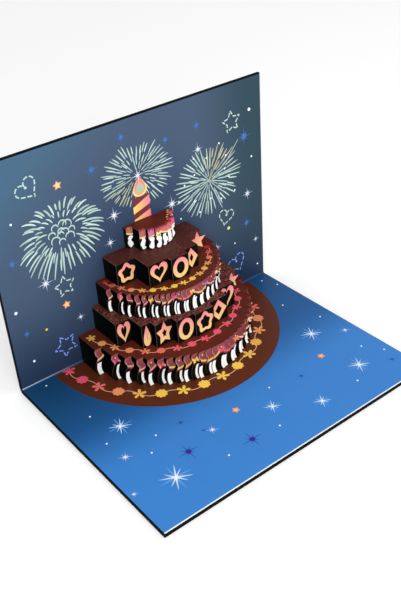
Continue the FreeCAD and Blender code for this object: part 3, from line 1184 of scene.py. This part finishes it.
# Ribbons on the striped tiers: their knots' x, height and sag as shares of a strip's height, width, the
# ink of each swag and of each bow, and the bows' width
RIBBONS = {
    "first": ((-66.5, -49.0, -31.0, -12.0, 4.6, 20.5, 38.0, 56.0, 74.0), 0.77, 0.2, 1.25,
              (PEACH, BLUSH, GOLD, GOLD, PINK, PEACH, PEACH, PEACH),
              (MAGENTA, PINK, YELLOW, PINK, ORANGE, PEACH, PEACH), 4.2),
    "third": ((-44.5, -32.6, -20.9, -9.5, 2.5, 14.3, 27.0, 39.0, 51.0), 0.81, 0.21, 0.95,
              (PEACH, BLUSH, PEACH, SALMON, GOLD, BLUSH, PEACH, PEACH),
              (PINK, YELLOW, MAGENTA, YELLOW, VIOLET, PEACH, PEACH), 3.0),
}
# The icing's reach below the ribbon and its upper edge, as shares of a strip's height
ICING_DROP, ICING_TOP = 0.10, 0.992
# The white bar's sides on the first strip, and on even and odd ones, as shares of a strip's width
FIRST_BAR, BARS = (0.18, 0.82), ((0.02, 0.56), (0.6, 0.98))
TOP_KNOTS = (-14.0, 3.0, 21.0)
# Dabs on the top tier: x, depth and ink
TOP_DABS = ((13.5, 8.6, OCHRE), (15.6, 6.4, OCHRE), (17.6, 3.6, OCHRE), (12.0, 11.2, SALMON),
            (16.6, 8.6, SALMON), (19.2, 1.6, OCHRE), (-12.5, 3.4, OCHRE))
# The shapes on the broad steps, from left to right
MOTIFS = {"second": ("heart", "drop", "star", "ring", "flower", "diamond", "heart"),
          "fourth": ("flower", "heart", "ring", "diamond")}


def swag_heights(x, knots, high, sag):
    """The height of a hung ribbon at each x, as a share of the strip: a parabola between two knots."""
    knots = np.asarray(knots, float)
    slot = np.clip(np.searchsorted(knots, x) - 1, 0, len(knots) - 2)
    along = np.clip((x - knots[slot]) / (knots[slot + 1] - knots[slot]), 0, 1)
    return high - sag * 4 * along * (1 - along)


def paint_bow(sheet, tier, index, high, width, tint):
    """A bow that fits one strip: two loops, two tails and a knot, in shares of the strip."""
    place = on_strip(tier, index)
    wide = width / (tier["edges"][index + 1] - tier["edges"][index])
    tall = width / tier["rise"]
    loop = np.array([[0.0, 0.0], [0.32, 0.34], [0.5, 0.3], [0.5, -0.08], [0.3, -0.16]])
    tail = np.array([[0.0, 0.0], [0.2, -0.05], [0.44, -0.55], [0.22, -0.62]])
    for hand in (-1, 1):
        for shape in (loop, tail):
            outline = stacked(0.5 + hand * shape[:, 0] * wide, high + shape[:, 1] * tall)
            sheet.fill(place, outline, tint, 3)
    sheet.fill(place, ellipse((0.5, high), 0.13 * wide, 0.15 * tall), np.array(tint) * 0.75, 4)


def paint_strips(name, knots, high, sag, ribbon, swag_inks, bow_inks, bow_width):
    """Icing, a hung ribbon with bows, and black and white stripes on the strips of one tier.

    The white stripes lie across every second slit, so each strip has white at its left or at its right.
    The icing's lower edge follows the ribbon, which is the swag's parabola."""
    tier = tier_plan()[name]
    sheet = Print()
    count = len(tier["depths"])
    thick = ribbon / tier["rise"]
    across = np.linspace(0.0, 1.0, 7)
    side = np.linspace(0, 1, 9)[1:]
    for index in range(count):
        place = on_strip(tier, index)
        left, right = tier["edges"][index:index + 2]
        hung = swag_heights(left + (right - left) * across, knots, high, sag)
        low = hung - ICING_DROP
        icing = np.concatenate([
            stacked(across, low),
            stacked(1.0, low[-1] + (ICING_TOP - low[-1]) * side),
            stacked(0.0, low[0] + (ICING_TOP - low[0]) * side)[::-1],
        ])
        darker = min(max(index / count - 0.5, 0.0) * 2.2, 1.0)
        sheet.fill(place, icing, mixed(ICING, ICING_DEEP, darker))
        sheet.line(place, stacked(0.06, np.linspace(low[0], 0.97, 9)), tapered(9, 0.10), ICING_LIGHT, 1)
        for streak in (0.38, 0.68):
            rise = np.linspace(low.min() + 0.16, 0.96, 7)
            sheet.line(place, stacked(streak, rise), tapered(7, 0.06), ICING_DARK, 1)
        sheet.fill(place, between(across, low, low + 0.035), ICING_DARK, 1)
        slot = int(np.clip(np.searchsorted(knots, (left + right) / 2) - 1, 0, len(swag_inks) - 1))
        sheet.fill(place, between(across, hung - thick / 2, hung + thick / 2), swag_inks[slot], 2)
        near, far = BARS[index % 2] if index else FIRST_BAR
        foot, head = 0.01, low.min() - 0.02
        bar = [stacked(far, np.linspace(foot, head, 9)), stacked(near, np.linspace(head, foot, 9))]
        sheet.fill(place, np.concatenate(bar), CREAM)
        if index % 3 == 1:
            sheet.fill(place, ellipse((0.6, 0.86), 0.11, 0.03), PEACH, 2)
    for knot, tint in zip(knots[1:], bow_inks):
        index = int(np.searchsorted(tier["edges"], knot)) - 1
        if index < count:
            paint_bow(sheet, tier, index, high, bow_width, tint)
    sheet.make(f"print_{name}")


def paint_top_tier():
    """The smallest tier: short icing, a peach ribbon, and white icing that runs down the strips."""
    tier = tier_plan()["fifth"]
    sheet = Print()
    chance = np.random.default_rng(4)
    across = np.linspace(0.0, 1.0, 7)
    up = np.linspace(0.02, 0.6, 15)
    for index in range(len(tier["depths"])):
        place = on_strip(tier, index)
        left, right = tier["edges"][index:index + 2]
        hung = swag_heights(left + (right - left) * across, TOP_KNOTS, 0.79, 0.15)
        icing = np.concatenate([stacked(across, hung - 0.05), [[1.0, 0.99], [0.0, 0.99]]])
        sheet.fill(place, icing, TOP_ICINGS[index])
        sheet.fill(place, between(across, hung - 0.07, hung + 0.01), PEACH, 1)
        for dab in (0.25, 0.75):
            sheet.fill(place, ellipse((dab, 0.94), 0.18, 0.045), TOP_DRIP, 1)
        middle = 0.5 + 0.1 * np.sin(up * 14 + index)
        widths = 0.22 + 0.2 * abs(np.sin(up * 9 + chance.uniform(0, 3)))
        widths *= np.sqrt(np.clip(np.minimum(up - 0.01, 0.62 - up) * 12, 0, 1))
        run = np.concatenate([stacked(middle + widths, up), stacked(middle - widths, up)[::-1]])
        sheet.fill(place, run, CREAM)
    paint_bow(sheet, tier, 3, 0.74, 3.6, TOP_BOW)
    for index, depth in enumerate(tier["depths"]):
        left, right = tier["edges"][index:index + 2]
        for share in (0.25, 0.75):
            at = (left + (right - left) * share, depth - 0.9)
            sheet.fill(on_top(tier), ellipse(at, 0.9, 0.5), TOP_EDGE)
    for x, depth, tint in TOP_DABS:
        dab = polar(lambda angle: 0.75 * (1 + 0.3 * np.cos(5 * angle)), (x, depth), 0.0, 20)
        sheet.fill(on_top(tier), dab, tint)
    sheet.make("print_fifth")


def motif_outlines(kind, width, height, stroke):
    """The outer and inner outline of a drawn shape that fills a width and a height.

    The inner outline is the outer one shrunk to the size less a stroke all round, and by a share more for
    the shapes with sharp corners."""
    outline, slack = {
        "heart": (heart_outline(1.0, count=40) * np.array([1.0, 1.06]), 1.0),
        "ring": (disc(0.5, count=36), 1.0),
        "diamond": (np.array([[0.0, 0.5], [0.5, 0.0], [0.0, -0.5], [-0.5, 0.0]]), 0.72),
        "drop": (drop_outline(1.0, 1.0, count=40), 0.86),
        "flower": (polar(lambda angle: 0.44 + 0.06 * np.cos(5 * angle), count=60, turn=0.31), 1.0),
        "star": (star_outline(0.54, 0.56), 0.62),
    }[kind]
    outer = outline * np.array([width, height])
    return outer, outer * (slack * (1 - 2 * stroke / np.array([width, height])))


def paint_motifs(name):
    """Drawn shapes on the fronts of a tier's broad steps, pink above and peach below."""
    tier = tier_plan()[name]
    margin = sizes().motif_margin
    size = tier["rise"] - margin

    def blush(points):
        share = np.clip(points[:, 1] / size + 0.5, 0, 1)
        return mixed(colours().motif_foot, colours().motif_top, share ** 1.2)

    sheet = Print()
    for index, kind in enumerate(MOTIFS[name]):
        width = min(tier["edges"][index + 1] - tier["edges"][index] - margin, size * 0.92)
        outer, inner = motif_outlines(kind, width, size, sizes().motif_stroke)
        sheet.ring(on_step(tier, index), outer, inner, blush, 1)
    sheet.make(f"print_{name}", 0.38)


# The stage

def build_floor():
    """A pale floor, seen as white and still shadowed by the card."""
    stage = bpy.context.scene.card_stage
    mesh = bpy.data.meshes.new("floor")
    half = 3.0
    mesh.from_pydata([(-half, -half, 0), (half, -half, 0), (half, half, 0), (-half, half, 0)], [],
                     [(0, 1, 2, 3)])
    floor = bpy.data.objects.new("floor", mesh)
    bpy.context.scene.collection.objects.link(floor)
    material = bpy.data.materials.new("stage_floor")
    material.use_nodes = True
    tree = material.node_tree
    seen = add_node(tree, "LightPath").outputs["Is Camera Ray"]
    lift = add_node(tree, "Math", {0: seen, 1: stage.floor_lift}, operation="MULTIPLY")
    feed(tree, tree.nodes["Principled BSDF"], {"Base Color": stage.floor_colour, "Roughness": 0.9,
                                               "Emission Strength": lift.outputs[0]})
    mesh.materials.append(material)


def add_lamp(name, place, target, size, power):
    """A square soft lamp that faces its target. Places in metres."""
    data = bpy.data.lights.new(name, "AREA")
    data.shape = "SQUARE"
    data.size = size
    data.energy = power
    lamp = bpy.data.objects.new(name, data)
    lamp.location = place
    lamp.rotation_euler = (Vector(target) - Vector(place)).to_track_quat("-Z", "Y").to_euler()
    bpy.context.scene.collection.objects.link(lamp)


def build_light():
    """An even sky and two large soft lamps. The camera sees the sky as white."""
    stage = bpy.context.scene.card_stage
    target = (0.0, 0.0, 0.05)
    add_lamp("key", (-0.6, -1.15, 0.55), target, 0.9, stage.key_power)
    add_lamp("fill", (1.0, -0.7, 0.8), target, 0.8, stage.fill_power)
    world = bpy.data.worlds.new("sky")
    bpy.context.scene.world = world
    world.use_nodes = True
    tree = world.node_tree
    light = feed(tree, tree.nodes["Background"], {"Color": WHITE, "Strength": stage.sky_light})
    backdrop = add_node(tree, "Background", {"Color": WHITE, "Strength": 1.0})
    rays = add_node(tree, "LightPath").outputs
    seen = add_node(tree, "Math", {0: rays["Is Camera Ray"], 1: rays["Is Transmission Ray"]},
                    operation="MAXIMUM")
    mix = add_node(tree, "MixShader", {"Fac": seen.outputs[0], 1: light.outputs[0], 2: backdrop.outputs[0]})
    feed(tree, tree.nodes["World Output"], {"Surface": mix.outputs[0]})


def build_camera():
    """The camera at the picture's angle.

    Its back direction comes from the azimuth and elevation, and its right and up are then turned about
    that direction by the roll."""
    stage = bpy.context.scene.card_stage
    azimuth, elevation, roll = stage.azimuth, stage.elevation, stage.roll
    back = Vector((math.sin(azimuth) * math.cos(elevation), -math.cos(azimuth) * math.cos(elevation),
                   math.sin(elevation)))
    right = Vector((math.cos(azimuth), math.sin(azimuth), 0.0))
    up = back.cross(right)
    rolled_right = math.cos(roll) * right + math.sin(roll) * up
    rolled_up = -math.sin(roll) * right + math.cos(roll) * up
    data = bpy.data.cameras.new("camera")
    data.sensor_fit = "VERTICAL"
    data.sensor_height = 36.0
    data.lens = stage.focal_pixels / stage.picture_size[1] * data.sensor_height
    data.clip_start = 0.01
    camera = bpy.data.objects.new("camera", data)
    place = Vector(stage.camera_place) + Vector((0.0, wall_y(), floor_z()))
    turn = Matrix((rolled_right, rolled_up, back)).transposed().to_4x4()
    camera.matrix_world = Matrix.Translation(place * MM) @ turn
    bpy.context.scene.collection.objects.link(camera)
    bpy.context.scene.camera = camera


# Operators

class CARD_OT_cover(bpy.types.Operator):
    """Give the cover its black board"""
    bl_idname = "card.cover"
    bl_label = "Cover board"

    def execute(self, context):
        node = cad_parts[COVER_NODE]
        node.data.materials.clear()
        node.data.materials.append(plain_paper("black_board"))
        return {"FINISHED"}


class CARD_OT_panels(bpy.types.Operator):
    """Make the two printed panels and their fold"""
    bl_idname = "card.panels"
    bl_label = "Printed panels"

    def execute(self, context):
        build_panels()
        return {"FINISHED"}


class CARD_OT_tiers(bpy.types.Operator):
    """Make the five folded tiers, and the stars that stand past two of them"""
    bl_idname = "card.tiers"
    bl_label = "Cake tiers"

    def execute(self, context):
        for name in TIERS:
            build_tier(name)
        build_star("second", 6.4)
        build_star("fourth", 7.0)
        return {"FINISHED"}


class CARD_OT_sky_print(bpy.types.Operator):
    """Print the two panels: fireworks, twinkles, plate and candle"""
    bl_idname = "card.sky_print"
    bl_label = "Panel print"

    def execute(self, context):
        paint_fireworks()
        paint_wall()
        paint_ground()
        paint_plate()
        paint_candle()
        return {"FINISHED"}


class CARD_OT_garlands(bpy.types.Operator):
    """Print the vines of flowers on the plate and on two tiers' tops"""
    bl_idname = "card.garlands"
    bl_label = "Garlands"

    def execute(self, context):
        plan = tier_plan()
        paint_garland("print_plate_vine", on_floor, 69.0, 72.3, 0.04, 2.73, 15, 7.2,
                      [PINK, PINK, ORANGE, YELLOW, YELLOW, YELLOW, YELLOW, OCHRE, ORANGE, SALMON], 1.2)
        paint_garland("print_first_vine", on_top(plan["first"]), 54.5, 56.6, 0.13, 2.62, 15, 5.2,
                      [OCHRE, ORANGE, SALMON, PINK, PINK, PINK, PINK], 3.0)
        paint_garland("print_third_vine", on_top(plan["third"]), 37.8, 39.0, 0.12, 2.75, 16, 4.1,
                      [RED, SALMON, ORANGE, YELLOW, YELLOW, YELLOW, OCHRE, OCHRE, SALMON, RED], 3.2)
        return {"FINISHED"}


class CARD_OT_strip_print(bpy.types.Operator):
    """Print the strips: icing, ribbons, bows and stripes"""
    bl_idname = "card.strip_print"
    bl_label = "Strip print"

    def execute(self, context):
        for name, ribbon in RIBBONS.items():
            paint_strips(name, *ribbon)
        paint_top_tier()
        return {"FINISHED"}


class CARD_OT_motifs(bpy.types.Operator):
    """Print the shapes on the broad steps"""
    bl_idname = "card.motifs"
    bl_label = "Step shapes"

    def execute(self, context):
        for name in MOTIFS:
            paint_motifs(name)
        return {"FINISHED"}


class CARD_OT_stage(bpy.types.Operator):
    """Set the floor, the light and the camera"""
    bl_idname = "card.stage"
    bl_label = "Stage"

    def execute(self, context):
        build_floor()
        build_light()
        build_camera()
        context.scene.view_settings.view_transform = "Standard"
        return {"FINISHED"}


class CARD_PT_panel(bpy.types.Panel):
    """The card's sizes, colours and steps"""
    bl_idname = "CARD_PT_panel"
    bl_label = "Pop-Up Cake Card"
    bl_space_type = "VIEW_3D"
    bl_region_type = "UI"
    bl_category = "Card"

    def draw(self, context):
        for group in (context.scene.card_sizes, context.scene.card_colours, context.scene.card_stage):
            box = self.layout.box()
            for label in group.__annotations__:
                box.prop(group, label)
        for operator in OPERATORS:
            self.layout.operator(operator.bl_idname)


OPERATORS = (CARD_OT_cover, CARD_OT_panels, CARD_OT_tiers, CARD_OT_sky_print, CARD_OT_garlands,
             CARD_OT_strip_print, CARD_OT_motifs, CARD_OT_stage)
CLASSES = (CardSizes, CardColours, StageSettings, *OPERATORS, CARD_PT_panel)


def register():
    for item in CLASSES:
        bpy.utils.register_class(item)
    bpy.types.Scene.card_sizes = PointerProperty(type=CardSizes)
    bpy.types.Scene.card_colours = PointerProperty(type=CardColours)
    bpy.types.Scene.card_stage = PointerProperty(type=StageSettings)


def unregister():
    del bpy.types.Scene.card_sizes
    del bpy.types.Scene.card_colours
    del bpy.types.Scene.card_stage
    for item in reversed(CLASSES):
        bpy.utils.unregister_class(item)


def main():
    register()
    bpy.ops.card.cover()
    bpy.ops.card.panels()
    bpy.ops.card.tiers()
    bpy.ops.card.sky_print()
    bpy.ops.card.garlands()
    bpy.ops.card.strip_print()
    bpy.ops.card.motifs()
    bpy.ops.card.stage()


if __name__ == "__main__":
    main()
